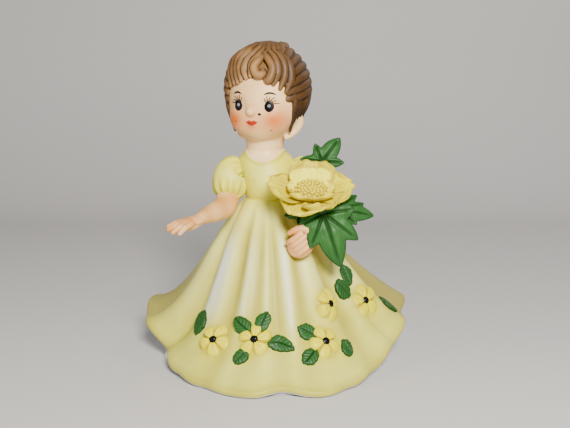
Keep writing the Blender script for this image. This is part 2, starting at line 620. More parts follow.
def make_arm_right():
    """Her right arm, held out with an open hand."""
    low, high = box_mm("arm_right")
    tip = vec(low[0], low[1], 57.4)    # where the middle finger ends
    clay = Clay(low - 1.5, high + 1.5, 0.24)
    arm = lay_arm(clay, [(-18.8, -2.4, 70.5), (-19.4, -4.8, 66.2), (-20.6, -9.4, 63.2), (-23.8, -16.0, 62.2),
                         (-26.2, -21.6, 61.9), (-28.0, -26.0, 61.4)], [4.2, 4.5, 4.3, 3.7, 2.75, 2.4], 22)
    wrist, knuckle = vec(-28.0, -26.0, 61.3), tip + vec(7.0, 6.6, 3.2)
    forward = unit(knuckle - wrist)
    spread = unit(vec(-0.66, 0.72, 0.10))
    palm = [forward, spread, unit(np.cross(forward, spread))]
    clay.ball(0.5 * (wrist + knuckle) + vec(0, 0, -0.1), (3.9, 3.3, 1.75), 1.6, axes=palm)
    clay.ball(knuckle, (2.4, 3.7, 1.45), 1.2, axes=palm)
    fingers = ((6.4, 0.10), (8.2, 0.12), (8.0, 0.22), (6.4, 0.36))    # length, droop
    for i, (long, droop) in enumerate(fingers):
        offset = i - 1.5
        root = knuckle - spread * (1.85 * offset) + vec(0, 0, -0.15)
        reach = unit(forward - spread * (0.05 * offset) + vec(0, 0, -droop * 0.5))
        joint = root + reach * (0.5 * long)
        end = joint + unit(reach + vec(0, 0, -droop)) * (0.5 * long)
        clay.rod(root, joint, 1.15, 1.05, 0.35)
        clay.rod(joint, end, 1.05, 0.78, 0.3)
    thumb = curve_through([wrist + vec(-0.6, -1.4, -0.6), wrist + vec(-2.0, -3.6, -1.9),
                           wrist + vec(-4.6, -5.2, -3.1)], 6)
    clay.chain(thumb, np.linspace(1.7, 0.95, 6), 0.5)
    points, faces = clay.fire()
    colours = skin_colour(points, faces, [(tip, 3.0, 0.45), (arm[9], 4.0, 0.25), (knuckle, 2.6, 0.25)])
    add_mesh("arm_and_hand_right", points, faces, colours, SKIN_MATERIAL, ["arm_right"])


def make_arm_left():
    """Her left arm, bent round to a fist that holds the stems."""
    low, high = box_mm("arm_left")
    clay = Clay(low - 2.0, high + 1.5, 0.22)
    lay_arm(clay, [(12.2, -2.0, 70.0), (15.6, -4.2, 66.0), (19.8, -8.2, 60.6), (19.6, -14.0, 57.0),
                   (17.2, -19.0, 54.6), (14.6, -22.4, 53.2)], [4.0, 4.2, 4.1, 3.6, 3.1, 2.9], 20)
    fist = vec(low[0] + 5.9, -23.4, low[2] + 5.8)
    clay.ball(fist, (5.3, 3.1, 4.9), 1.0, axes=[(0.8, 0, 0.6), (0, 1, 0), (-0.6, 0, 0.8)])
    lie = unit(vec(0.80, -0.06, 0.60))
    stack = unit(vec(0.52, 0.02, -0.85))
    for i in range(4):
        middle = fist + vec(-0.6, -2.5, 0.9) + stack * (1.95 * (i - 1.5))
        half = 3.9 - 0.3 * abs(i - 1.2)
        bend = [middle - lie * half + vec(0, 1.5, 0), middle - lie * (0.55 * half) + vec(0, 0.1, 0), middle,
                middle + lie * (0.6 * half) + vec(0, 0.25, 0), middle + lie * half + vec(0, 1.3, 0)]
        clay.chain(curve_through(bend, 9), np.interp(np.arange(9), [0, 4, 8], [0.95, 1.12, 1.0]), 0.28)
    thumb = curve_through([fist + vec(4.2, -1.0, 3.0), fist + vec(2.6, -1.8, 6.6),
                           fist + vec(-0.6, -2.0, 7.2), fist + vec(-4.2, -1.8, 5.2)], 9)
    clay.chain(thumb, np.linspace(1.6, 1.0, 9), 0.5)
    points, faces = clay.fire()
    marks = [(fist + vec(-3.5, -3, -1), 3.2, 0.4), (fist + vec(-3.6, -2, 5.4), 2.2, 0.35)]
    colours = skin_colour(points, faces, marks)
    add_mesh("arm_and_fist_left", points, faces, colours, SKIN_MATERIAL, ["arm_left"])


# ---------------------------------------------------------------- the head
HEAD_LOW, HEAD_HIGH = box_mm("head")
FACE_YAW = math.radians(-22.0)
HEAD_RIGHT = vec(math.cos(FACE_YAW), math.sin(FACE_YAW), 0)
HEAD_FORWARD = vec(math.sin(FACE_YAW), -math.cos(FACE_YAW), 0)
HEAD = vec(0.5 * (HEAD_LOW[0] + HEAD_HIGH[0]), -0.8, HEAD_HIGH[2] - 16.0)
HEAD_AXES = [HEAD_RIGHT, HEAD_FORWARD, vec(0, 0, 1)]


def face_at(right, forward, up):
    """A place given from the middle of the skull in the face's own directions."""
    return HEAD + HEAD_RIGHT * right + HEAD_FORWARD * forward + vec(0, 0, up)


def in_face(points):
    """The reverse of face_at: right, forward and up for points of the world."""
    q = points - HEAD
    return q @ HEAD_RIGHT, q @ HEAD_FORWARD, q[:, 2]


EYES = [(-6.2, -2.9), (6.8, -3.3)]                   # right, up
NOSE_RIGHT, NOSE_UP = -0.3, -5.2
MOUTH_RIGHT, MOUTH_UP = -0.3, -9.6
CHEEKS = [(-8.2, 1.0), (8.6, 0.95)]                  # right, strength of the blush
SKULL_SIZE = vec(15.2, 15.4, 16.0)
HEAD_LUMPS = [     # place (right, forward, up), radii, melt
    ((0.0, 0.0, 0.0), SKULL_SIZE, 0.5), ((0.3, 1.2, -6.3), (13.0, 12.6, 10.6), 4.0),
    ((0.2, 8.4, -12.2), (4.8, 4.6, 4.1), 3.5), ((-6.4, 8.2, -8.6), (4.8, 4.8, 4.8), 4.0),
    ((6.4, 8.2, -8.6), (4.8, 4.8, 4.8), 4.0),
]
FACE_LUMPS = [     # bridge, tip and wings of the nose, upper and lower lip
    ((NOSE_RIGHT + 0.2, 13.4, NOSE_UP + 2.2), (1.3, 1.2, 2.4), 2.0),
    ((NOSE_RIGHT, 14.9, NOSE_UP), (2.1, 1.9, 1.9), 0.6),
    ((NOSE_RIGHT - 1.8, 13.9, NOSE_UP - 0.4), (0.9, 1.0, 0.85), 0.6),
    ((NOSE_RIGHT + 1.8, 13.9, NOSE_UP - 0.4), (0.9, 1.0, 0.85), 0.6),
    ((MOUTH_RIGHT, 13.3, MOUTH_UP + 0.5), (2.3, 1.2, 0.9), 1.0),
    ((MOUTH_RIGHT, 13.0, MOUTH_UP - 0.8), (1.7, 1.2, 0.8), 1.0),
]
EAR_LINE = [(12.4, 0.6, -5.8), (13.7, -0.6, -7.4), (14.2, -1.4, -9.6), (13.4, -1.0, -12.0),
            (11.6, 0.8, -14.4), (9.6, 2.6, -15.8)]


def head_colour(points):
    """Skin with blushed cheeks, nose, chin and eye sockets, and painted lips."""
    right, forward, up = in_face(points)
    front = ease((forward - 2.0) / 5.0)
    across, above = right - MOUTH_RIGHT, up - MOUTH_UP
    nose_across, nose_above = right - NOSE_RIGHT, up - NOSE_UP
    colours = mix(SKIN, SKIN_WARM, np.clip(0.18 + 0.2 * smooth_noise(points, 14.0, 21), 0, 1))
    for cheek, strength in CHEEKS:
        colours = mix(colours, BLUSH, strength * front * bump(right - cheek, 5.0) * bump(up + 8.4, 4.6))
    colours = mix(colours, BLUSH, 0.62 * front * bump(nose_across, 3.8) * bump(above + 1.0, 3.2))
    colours = mix(colours, BLUSH, 0.45 * front * bump(right - 0.4, 2.4) * bump(nose_above - 1.2, 3.0))
    lit_nose = bump(nose_across, 1.3) * bump(nose_above, 1.4) * ease((forward - 14.0) / 1.5)
    colours = mix(colours, SKIN, 0.8 * lit_nose)
    eye_glow = sum(bump(np.hypot(right - r, up - u), 3.4) for r, u in EYES) * front
    colours = mix(colours, SKIN_WARM, 0.35 * np.clip(eye_glow, 0, 1))
    upper_edge = 1.05 * (1 - (across / 2.8) ** 2) - 0.55 * bump(across, 0.5)
    lower_edge = -1.2 * (1 - (across / 2.3) ** 2)
    lips = ease((upper_edge - above) / 0.3 + 0.5) * ease((above - lower_edge) / 0.3 + 0.5)
    lips = lips * ease((2.7 - np.abs(across)) / 0.3) * front
    colours = mix(colours, LIP_RED, lips)
    return mix(colours, LIP_LINE, 0.7 * lips * bump(above + 0.1, 0.22))


def make_head():
    """The head with its neck and ears. Gives back its points."""
    clay = Clay(HEAD_LOW - 2.0, HEAD_HIGH + 1.5, 0.27)
    for place, radii, melt in HEAD_LUMPS:
        clay.ball(face_at(*place), radii, melt, axes=HEAD_AXES)
    for right, up in EYES:
        clay.ball(face_at(right * 1.02, 16.6, up + 0.4), (3.4, 2.4, 3.6), 2.2, axes=HEAD_AXES, carve=True)
    for place, radii, melt in FACE_LUMPS:
        clay.ball(face_at(*place), radii, melt, axes=HEAD_AXES)
    for side in (-1, 1):
        ear = [face_at(side * right, forward, up) for right, forward, up in curve_through(EAR_LINE, 14)]
        clay.chain(ear, np.linspace(1.15, 0.9, 14), 0.9)
        clay.ball(face_at(side * 12.2, 0.2, -9.8), (1.3, 1.8, 3.2), 1.0, axes=HEAD_AXES)
    neck = [(NECK_X, 0.0, NECK_Z - 5.0), (NECK_X, 0.0, NECK_Z + 1.0), (NECK_X + 0.1, 0.2, NECK_Z + 5.0),
            (NECK_X + 0.3, 1.0, NECK_Z + 10.0)]
    clay.chain(neck, [7.2, 7.05, 6.9, 7.0], 2.4)
    points, faces = clay.fire()
    add_mesh("head_and_neck", points, faces, head_colour(points), SKIN_MATERIAL, ["head"])
    return points


class Skin:
    """Finds the head's surface along the face's forward direction, so that paint can be laid on it."""

    def __init__(self, points):
        self.right, self.forward, self.up = in_face(points)

    def place(self, right, up, lift):
        """The place on the skin at (right, up), raised by lift."""
        near = (np.abs(self.right - right) < 0.8) & (np.abs(self.up - up) < 0.8) & (self.forward > 0)
        weight = bump(np.hypot(self.right[near] - right, self.up[near] - up), 0.4) + 1e-9
        forward = float((self.forward[near] * weight).sum() / weight.sum())
        return face_at(right, forward + lift, up)


def add_pad(name, skin, outline, dome, lift, material, inset=0.1):
    """A thin raised patch of paint that follows the head: outline holds (right, up) round its edge."""
    outline = np.array(outline, float)
    centre = outline.mean(axis=0)
    rings = 7
    points = [skin.place(centre[0], centre[1], lift + dome)]
    for k in range(1, rings + 1):
        share = k / rings
        rise = dome * math.sqrt(max(0.0, 1 - share ** 2)) if k < rings else -inset
        for right, up in centre + (outline - centre) * share:
            points.append(skin.place(right, up, lift + rise))
    count = len(outline)
    faces = [(0, 1 + i, 1 + (i + 1) % count) for i in range(count)]
    for k in range(rings - 1):
        a, b = 1 + k * count, 1 + (k + 1) * count
        faces += [(a + i, b + i, b + (i + 1) % count, a + (i + 1) % count) for i in range(count)]
    add_mesh(name, points, faces, None, material, [])


def add_stroke(name, path, widths):
    """A round stroke of the thin brush along a path."""
    turn = np.linspace(0, 2 * math.pi, 6, endpoint=False)[None, :]
    points = tube(np.array(path), np.array(widths)[:, None], turn).reshape(-1, 3)
    add_mesh(name, points, grid_faces(len(path), 6, close_columns=True), None, PENCIL, [])


def oval(right, up, half_width, half_height, count):
    """Places (right, up) round an oval."""
    turns = np.linspace(0, 2 * math.pi, count, endpoint=False)
    return [(right + half_width * math.cos(a), up + half_height * math.sin(a)) for a in turns]


SPECKS = [(3.2, -6.3, 0.85), (-7.4, -9.2, 0.36), (7.0, -12.6, 0.34)]    # right, up, size
LASHES = 6


def make_face_paint(head_points):
    """Eyes with glints, lashes and brows, and three specks of dirt."""
    skin = Skin(head_points)
    for number, (right, up) in enumerate(EYES, 1):
        outward = -1 if right < 0 else 1
        add_pad(f"eye_{number}", skin, oval(right, up, 2.0, 2.3, 28), 0.32, 0.05, BLACK, 0.25)
        add_pad(f"glint_{number}", skin, oval(right + 0.1, up + 0.25, 0.75, 0.7, 14), 0.06, 0.34, GLINT)
        for k in range(LASHES):
            lean = math.radians(-42 + 21 * k) * outward
            long = 2.0 + 0.35 * (k % 2)
            path = []
            for s in np.linspace(0, 1, 6):
                angle = lean + outward * 0.35 * s
                path.append(skin.place(right + 1.5 * math.sin(lean) + long * s * math.sin(angle),
                                       up + 2.0 * math.cos(lean) + long * s * math.cos(angle), 0.02))
            add_stroke(f"lash_{number}_{k + 1}", path, np.linspace(0.3, 0.13, 6))
        steps = np.linspace(-1, 1, 11)
        brow = [skin.place(right + 0.3 * outward + 2.1 * s, up + 5.2 - 0.75 * s * s, 0.02) for s in steps]
        add_stroke(f"brow_{number}", brow, 0.14 + 0.3 * (1 - steps ** 2))
    for number, (right, up, size) in enumerate(SPECKS, 1):
        add_pad(f"speck_{number}", skin, oval(right, up, size, size * 0.7, 12), 0.05, 0.03, PENCIL)


# ---------------------------------------------------------------- the hair
HAIR_LOW, HAIR_HIGH = box_mm("hair")
HAIR = vec(-2.9, 0.9, HAIR_HIGH[2] - 18.9)
HAIR_SIZE = vec(17.1, 17.2, 18.0)
KNOT = vec(-2.2, 5.6, HAIR_HIGH[2] - 4.4)


def looking(longitude, latitude):
    """A direction from the middle of the skull: longitude 0 straight ahead, + to her left, latitude 90 up."""
    lon, lat = np.radians(longitude), np.radians(latitude)
    shares = np.stack([np.sin(lon) * np.cos(lat), np.cos(lon) * np.cos(lat), np.sin(lat)], axis=-1)
    return shares @ np.array(HEAD_AXES)


def reach_of(directions, centre, size):
    """How far rays from the middle of the skull run before they leave this ellipsoid."""
    axes = np.array(HEAD_AXES)
    d, o = directions @ axes.T / size, axes @ (HEAD - centre) / size
    a, b, c = (d * d).sum(axis=-1), 2 * d @ o, float(o @ o) - 1.0
    return (-b + np.sqrt(np.maximum(b * b - 4 * a * c, 0.0))) / (2 * a)


def over_head(directions, fullness):
    """Points on the hair: fullness 0 lies on the skull, 1 on the full outline of the hair."""
    skull, full = reach_of(directions, HEAD, SKULL_SIZE), reach_of(directions, HAIR, HAIR_SIZE)
    return HEAD + directions * (skull + (np.maximum(full, skull) - skull) * fullness)[..., None]


FRINGE = [          # every lock as (longitude, latitude) stops from its root to its curled tip
    [(-56, 58), (-60, 44), (-55, 30), (-45, 12)],
    [(-44, 64), (-52, 50), (-46, 34), (-35, 15)],
    [(-34, 68), (-43, 54), (-38, 38), (-26, 16)],
    [(-22, 70), (-24, 54), (-29, 39), (-20, 20)],
    [(4, 74), (0, 57), (-13, 45), (-16, 33), (-11, 23)],
    [(14, 62), (7, 49), (-4, 41), (-4, 26)],
    [(24, 58), (10, 46), (3, 36), (8, 27), (17, 28), (16, 35)],
    [(12, 58), (26, 46), (33, 33), (26, 19), (20, 24)],
    [(28, 60), (38, 44), (41, 30), (33, 14)],
    [(40, 60), (51, 42), (52, 27), (43, 8)],
    [(52, 56), (61, 38), (61, 20), (52, 3)],
]
SIDE_WAVES = (-2, 8, 18, 28, 38, 48, 58)    # the latitude at which each wave leaves the fringe
NAPE = [            # lower hairline round the back: longitude, latitude
    (92, -20), (104, -24), (118, -38), (136, -48), (156, -56), (180, -58), (204, -56), (224, -48), (242, -38),
    (256, -24), (268, -20),
]


def sweep_to_knot(longitude, latitude, count=40):
    """Directions along the shortest arc over the head, from this place to the knot."""
    start, end = looking(longitude, latitude), unit(KNOT - HEAD + vec(0, 0, 1.0))
    angle = math.acos(float(np.clip(start @ end, -1, 1)))
    s = np.linspace(0, 1, count)[:, None]
    return (start * np.sin((1 - s) * angle) + end * np.sin(s * angle)) / math.sin(angle)


def lay_back_hair(clay):
    """Combed locks that run up from the nape, and back from the fringe, to the knot."""
    for longitude, latitude in curve_through(NAPE, 24):
        way = sweep_to_knot(longitude, latitude)
        if abs(longitude - 180) > 52:
            way = way[:16]    # above the ears the side waves take over
        s = np.linspace(0, 1, len(way))
        radii = np.interp(s, [0, 0.1, 0.4, 0.8, 1], [1.0, 1.7, 2.0, 1.5, 1.1])
        clay.chain(over_head(way, 0.3 + 0.7 * ease(s / 0.3)) - way * (radii * 0.55)[:, None], radii, 0.3)
    for longitude in range(-70, 80, 14):
        way = sweep_to_knot(longitude, 66)
        radii = np.linspace(1.7, 1.2, len(way))
        clay.chain(over_head(way, 1.0) - way * (radii * 0.55)[:, None], radii, 0.3)


def lay_side_hair(clay, side):
    """Waves round one side of the head, and the short locks by the ear."""
    for k, latitude in enumerate(SIDE_WAVES):
        stops = curve_through([(side * 56, latitude), (side * 74, latitude + 5 + k),
                               (side * 94, latitude + 10 + k), (side * 114, latitude + 14),
                               (side * 134, latitude + 18)], 40)
        way = looking(stops[:, 0], np.minimum(stops[:, 1], 84))
        radii = np.interp(np.linspace(0, 1, 40), [0, 0.2, 0.75, 1], [1.5, 2.3, 2.1, 0.7])
        clay.chain(over_head(way, 1.0) - way * (radii * 0.62)[:, None], radii, 0.25)
    for k in range(5):
        lock = curve_through([face_at(side * (13.8 + 0.2 * k), 6.2 - 2.1 * k, 3.0),
                              face_at(side * (14.4 + 0.2 * k), 5.8 - 2.0 * k, -2.6),
                              face_at(side * (13.4 + 0.2 * k), 5.4 - 1.8 * k, -7.4),
                              face_at(side * (12.0 + 0.3 * k), 4.6 - 1.3 * k, -13.0 + 2.4 * k)], 9)
        clay.chain(lock, np.linspace(1.5, 0.65, 9), 0.2)


def lay_fringe(clay):
    """The curled locks over the forehead."""
    s = np.linspace(0, 1, 22)
    radii = np.interp(s, [0, 0.25, 0.7, 1], [0.9, 1.5, 1.8, 0.8])
    fullness = 0.22 + 0.78 * (1 - ease((s - 0.35) / 0.65))
    for stops in FRINGE:
        stops = curve_through(stops, 22)
        way = looking(stops[:, 0], stops[:, 1] + 5.0)
        clay.chain(over_head(way, fullness) + way * 0.25 * ease(s / 0.3)[:, None], radii, 0.14)


def lay_knot(clay):
    """The rolled knot at the crown."""
    clay.ball(KNOT - vec(0, 0, 1.0), (6.4, 6.6, 4.2), 1.0)
    for k in range(7):
        turn = 2 * math.pi * (k + 0.2) / 7
        loop = []
        for step in np.linspace(0, 1, 9):
            a = turn + (step - 0.5) * 1.5
            rise = 0.2 + 1.9 * math.sin(step * math.pi)
            loop.append(KNOT + vec(6.2 * math.cos(a), 6.2 * math.sin(a), rise))
        clay.chain(loop, np.interp(np.arange(9), [0, 4, 8], [0.9, 1.9, 0.9]), 0.2)
        root = KNOT + vec(5.0 * math.cos(turn), 5.0 * math.sin(turn), 0.2)
        clay.rod(root, KNOT + vec(0, 0, 3.2), 1.5, 1.3, 0.3)


def make_hair():
    """Hair swept up into a knot, darker in its grooves and low at the sides."""
    clay = Clay(HAIR_LOW - 1.5, HAIR_HIGH + 1.5, 0.25)
    clay.ball(HAIR, HAIR_SIZE - 1.5, axes=HEAD_AXES)
    clay.ball(HAIR + vec(0.8, 5.0, -9.4), (12.8, 10.0, 10.2), 3.0)
    lay_back_hair(clay)
    lay_side_hair(clay, -1)
    lay_side_hair(clay, 1)
    lay_fringe(clay)
    lay_knot(clay)
    points, faces = clay.fire()
    depth = hollows(points, faces, 16)
    groove, crest = np.clip(depth / 0.16, 0, 1), np.clip(-depth / 0.25, 0, 1)
    streak = smooth_noise(points, 5.0, 31)
    colours = mix(HAIR_BROWN, HAIR_DARK, np.clip(0.95 * groove + 0.15 * streak, 0, 1))
    right, forward, up = in_face(points)
    lit = bump(right + 2.0, 9.5) * ease((forward - 4) / 6) * bump(up - 11.0, 8.0)
    light = (0.25 + 0.85 * lit) * (0.35 + 0.65 * crest) * (1 - groove)
    colours = mix(colours, HAIR_LIGHT, np.clip(light, 0, 1))
    colours = mix(colours, HAIR_DARK, 0.45 * ease((-up + 1.0) / 8.0) + 0.45 * ease((right - 8.0) / 8.0))
    add_mesh("hair_locks", points, faces, colours, HAIR_MATERIAL, ["hair"])


# ---------------------------------------------------------------- the big flower
STAMEN_LOW, STAMEN_HIGH = box_mm("flower_stamens")
FLOWER_OUT = unit(vec(0.04, -0.46, 0.89))
FLOWER_RIGHT = unit(vec(1.0, 0.05, 0.0) - FLOWER_OUT * float(vec(1.0, 0.05, 0.0) @ FLOWER_OUT))
FLOWER_BACK = np.cross(FLOWER_OUT, FLOWER_RIGHT)
FLOWER = 0.5 * (STAMEN_LOW + STAMEN_HIGH) - FLOWER_OUT * 0.8 - FLOWER_RIGHT * 0.6


def flower_way(turn):
    """A direction across the flower, turned from its right by this many radians."""
    return FLOWER_RIGHT * math.cos(turn) + FLOWER_BACK * math.sin(turn)


def petal_sheet(start, angle, reach, lift, sag, half_width, ruffle, waves, curl, twist=0.0):
    """The middle surface of a pressed petal as a grid, with its u (base to tip) and v (side to side)."""
    along = flower_way(math.radians(angle))
    side = np.cross(FLOWER_OUT, along)
    u = np.linspace(0, 1, 56)[:, None]
    v = np.linspace(-1, 1, 65)[None, :]
    shape = 0.34 + 0.66 * np.sin(math.pi * np.minimum(1.0, 0.06 + 0.66 * u))
    width = half_width * shape * (1.0 - 0.30 * ease((u - 0.72) / 0.28) ** 2)
    tip = reach * (1 - 0.24 * np.abs(v) ** 2.4 + 0.035 * np.cos(v * 9.0 + angle))
    x = start + tip * u * np.ones_like(v)
    y = width * v
    z = lift * u ** 1.15 - sag * np.sin(math.pi * u) + 0.20 * width * v ** 2 + curl * u ** 4
    z = z + ruffle * u ** 2 * np.cos(v * waves * math.pi / 2 + angle * 0.05) * (0.35 + 0.65 * np.abs(v))
    z = z + twist * v * u
    points = FLOWER + x[..., None] * along + y[..., None] * side + z[..., None] * FLOWER_OUT
    return points, u * np.ones_like(v), v * np.ones_like(u)


def add_petal(name, node, sheet, u, v, thickness, inner, shade=0.0):
    """Closes a petal sheet into a blade with a rounded edge and paints it. shade makes its paint deeper."""
    rows, columns = u.shape
    across = np.gradient(sheet, axis=1)
    along = np.gradient(sheet, axis=0)
    normal = unit(np.cross(along, across))
    if float((normal.reshape(-1, 3) @ FLOWER_OUT).mean()) < 0:
        normal = -normal
    edge = (1 - np.abs(v) ** 6) * (1 - ease((u - 0.93) / 0.07)) * 0.92 + 0.08
    gauge = 0.5 * thickness * (1 - 0.35 * u) * np.sqrt(edge)
    ripple = np.cos(v * 34.0 * (0.6 + 0.4 * u))
    vein = 0.07 * ripple * ease(u / 0.2) * (1 - np.abs(v) ** 4)
    top = sheet + normal * (gauge + vein)[..., None]
    under = sheet - normal * (gauge - 0.4 * vein)[..., None]
    loop = np.concatenate([top.reshape(-1, 3), under.reshape(-1, 3)])
    top_faces = grid_faces(rows, columns)
    under_faces = top_faces[:, ::-1] + rows * columns
    index = np.arange(rows * columns).reshape(rows, columns)
    border = np.concatenate([index[0, :-1], index[:-1, -1], index[-1, :0:-1], index[:0:-1, 0]])
    after = np.roll(border, -1)
    rim = np.stack([border, border + rows * columns, after + rows * columns, after], axis=1)
    faces = np.concatenate([top_faces, under_faces, rim])
    streak = (0.5 + 0.5 * ripple) * ease(u / 0.25)
    pale, deep = (PETAL_PALE, PETAL_YELLOW) if inner else (PETAL_YELLOW, PETAL_OCHRE)
    cloud = smooth_noise(sheet.reshape(-1, 3), 8.0, 41).reshape(rows, columns)
    deep_share = np.clip(0.10 + shade + 0.32 * (1 - u) + 0.22 * (1 - streak) + 0.12 * cloud, 0, 1)
    top_colour = mix(pale, deep, deep_share)
    top_colour = mix(top_colour, PETAL_PALE, (0.6 - shade) * ease((u - 0.72) / 0.28) * (0.7 + 0.3 * cloud))
    rim_shade = 0.75 * ease((u - 0.94) / 0.06) + 0.5 * ease((np.abs(v) - 0.92) / 0.08)
    top_colour = mix(top_colour, PETAL_OCHRE, np.clip(rim_shade, 0, 0.85))
    under_colour = mix(PETAL_YELLOW, PETAL_OCHRE, np.clip(0.72 - 0.3 * u + 0.2 * cloud, 0, 1))
    colours = np.concatenate([top_colour.reshape(-1, 3), under_colour.reshape(-1, 3)])
    add_mesh(name, loop, faces, colours, PETAL, [node])


OUTER_PETALS = [    # angle, reach, lift, sag, half width, ruffle, waves, curl, twist, extra depth of paint
    (84, 9.8, 8.2, 1.2, 9.0, 0.5, 3, 0.0, 0.0, 0.35),
    (8, 14.6, 3.2, 1.0, 9.0, 0.6, 3, 0.6, 0.8, 0.0),
    (176, 14.6, 3.8, 1.2, 8.6, 0.5, 3, 0.8, -0.4, 0.2),
    (238, 11.6, 0.2, 1.0, 8.8, 0.9, 5, -1.2, 0.6, 0.15),
    (304, 11.0, 1.6, 1.0, 9.6, 1.7, 6, 0.8, -0.4, 0.25),
]
INNER_PETALS = [    # angle, reach, lift, sag, half width, ruffle, waves, curl
    (90, 6.8, 6.6, 0.8, 8.2, 0.2, 3, 0.2),
    (2, 7.4, 3.4, 0.6, 5.6, 0.2, 3, 0.2),
    (178, 7.4, 3.4, 0.6, 5.6, 0.2, 3, 0.2),
    (270, 7.0, 4.0, 0.8, 8.8, 0.25, 4, 0.3),
]


def make_petals():
    """The nine petals round the stamens."""
    for i, (*plan, shade) in enumerate(OUTER_PETALS, 1):
        sheet, u, v = petal_sheet(2.2, *plan)
        add_petal(f"outer_petal_{i}", f"flower_outer_petal_{i}", sheet, u, v, 1.35, inner=False, shade=shade)
    for i, plan in enumerate(INNER_PETALS, 1):
        sheet, u, v = petal_sheet(1.8, *plan)
        sheet = sheet + FLOWER_OUT * 0.5
        add_petal(f"inner_petal_{i}", f"flower_inner_petal_{i}", sheet, u, v, 1.1, inner=True)


def make_stamens():
    """A low cushion set with small seeds."""
    count = 64
    clay = Clay(STAMEN_LOW - 1.6, STAMEN_HIGH + 1.6, 0.15)
    clay.ball(FLOWER + FLOWER_OUT * 2.4, (6.3, 6.1, 2.4), axes=[FLOWER_RIGHT, FLOWER_BACK, FLOWER_OUT])
    seeds = []
    golden = math.pi * (3 - math.sqrt(5))
    for k in range(count):
        reach = 6.2 * math.sqrt((k + 0.5) / count)
        height = 2.5 + 2.2 * math.sqrt(max(0.0, 1 - (reach / 6.3) ** 2)) + RANDOM.uniform(-0.15, 0.35)
        seeds.append(FLOWER + flower_way(k * golden) * reach + FLOWER_OUT * height)
        clay.ball(seeds[-1], 0.62 + RANDOM.uniform(-0.05, 0.1), 0.16)
    points, faces = clay.fire()
    seeds = np.array(seeds)
    nearest = np.full(len(points), 9.0)
    for seed in seeds:
        nearest = np.minimum(nearest, np.linalg.norm(points - seed - FLOWER_OUT * 0.4, axis=1))
    colours = mix(SPRIG_PALE, PETAL_OCHRE, ease((nearest - 0.3) / 0.45))
    add_mesh("stamens", points, faces, colours, PETAL, ["flower_stamens"])


def make_receptacle():
    """The green cup under the petals, with its sepals."""
    low, high = box_mm("flower_receptacle")
    clay = Clay(low - 2.5, high + 1.0, 0.25)
    top, bottom = FLOWER + FLOWER_OUT * 0.2, FLOWER - FLOWER_OUT * 5.6
    clay.rod(top - FLOWER_OUT * 1.6, bottom, 3.0, 1.4)
    for k in range(5):
        outward = flower_way(2 * math.pi * (k + 0.3) / 5)
        clay.rod(bottom + FLOWER_OUT * 1.5, top - FLOWER_OUT * 2.4 + outward * 2.9, 1.0, 0.7, 0.5)
    points, faces = clay.fire()
    colours = mix(LEAF_GREEN, LEAF_DARK, np.clip(0.4 + 0.5 * smooth_noise(points, 4.0, 51), 0, 1))
    add_mesh("receptacle", points, faces, colours, LEAF, ["flower_receptacle"])


# ---------------------------------------------------------------- the bouquet's leaves and stems
def ivy_reach(angle, lobes):
    """Distance from the hub to the edge in each direction, as a share of the leaf's length."""
    reach = 0.40 + np.zeros_like(angle)
    for at, far, width in lobes:
        reach = np.maximum(reach, far * (1.0 - 0.5 * (np.abs(wrap(angle - at)) / width) ** 0.9))
    return reach


def make_ivy(name, node, hub, tip, face, lobes):
    """A lobed leaf with a raised midrib and side veins, thick and rounded at the edge like pressed clay."""
    along = tip - hub
    length = float(np.linalg.norm(along))
    along = along / length
    face = unit(face - along * float(face @ along))
    side = np.cross(along, face)
    spokes, rings, droop = 240, 26, 0.1
    angle = ring(spokes)
    kernel = np.array([1, 2, 3, 2, 1]) / 9.0
    reach = ivy_reach(angle, lobes)
    reach = sum(np.roll(reach, k - 2) * w for k, w in enumerate(kernel))
    share = np.linspace(0, 1, rings)[:, None]
    radius = share * reach[None, :] * length
    a = np.radians(angle)[None, :]
    x, y = radius * np.cos(a), radius * np.sin(a)
    ridge = np.zeros_like(x)
    for at, far, _ in lobes:
        b = math.radians(at)
        ahead = x * math.cos(b) + y * math.sin(b)
        off = -x * math.sin(b) + y * math.cos(b)
        taper = np.clip(1 - ahead / (far * length), 0, 1) * ease(ahead / (0.06 * length) + 0.5)
        ridge = np.maximum(ridge, bump(off, 0.42 + 0.25 * taper) * ease(taper * 4))
    trough = np.zeros_like(x)
    for at, far, width in lobes:
        away = np.abs(wrap(angle - at)) / width
        trough = np.maximum(trough, (np.clip(1 - (away / 1.3) ** 2, 0, 1))[None, :] * ease(share * 2.2))
    bow = -droop * (x / length) ** 2 * length - 0.10 * (y / length) ** 2 * length
    swell = 0.55 * np.sin(share * math.pi) * trough
    flat = np.stack([x.ravel(), y.ravel(), np.zeros(x.size)], axis=1)
    height = bow - 0.85 * ridge - 0.9 * (1 - trough) * share * (1 - share) + swell
    height = height + 0.12 * smooth_noise(flat, 3.0, 61).reshape(x.shape)
    thick = 1.5 * np.sqrt(np.clip(1 - share ** 5, 0.0, 1)) + 0.02
    middle = hub + x[..., None] * along + y[..., None] * side
    top = middle + (height + 0.3 * thick)[..., None] * face
    under = middle + (bow - 0.7 * thick)[..., None] * face
    points = np.concatenate([top.reshape(-1, 3), under[::-1].reshape(-1, 3)])
    faces = grid_faces(2 * rings, spokes, close_columns=True)
    shade = np.clip(0.25 + 0.5 * ridge + 0.35 * (1 - trough) * share + 0.12 * np.cos(y * 5.0), 0, 1)
    edge = ease((share - 0.93) / 0.07) * np.ones_like(x)
    colour = mix(mix(LEAF_GREEN, LEAF_DARK, np.clip(shade + 0.4 * edge, 0, 1)), LEAF_LIGHT,
                 0.5 * np.clip(swell, 0, 1) * (1 - ridge))
    under_colour = np.tile(LEAF_DARK, (x.size, 1))
    colours = np.concatenate([colour.reshape(-1, 3), under_colour])
    add_mesh(name, points, faces, colours, LEAF, [node])


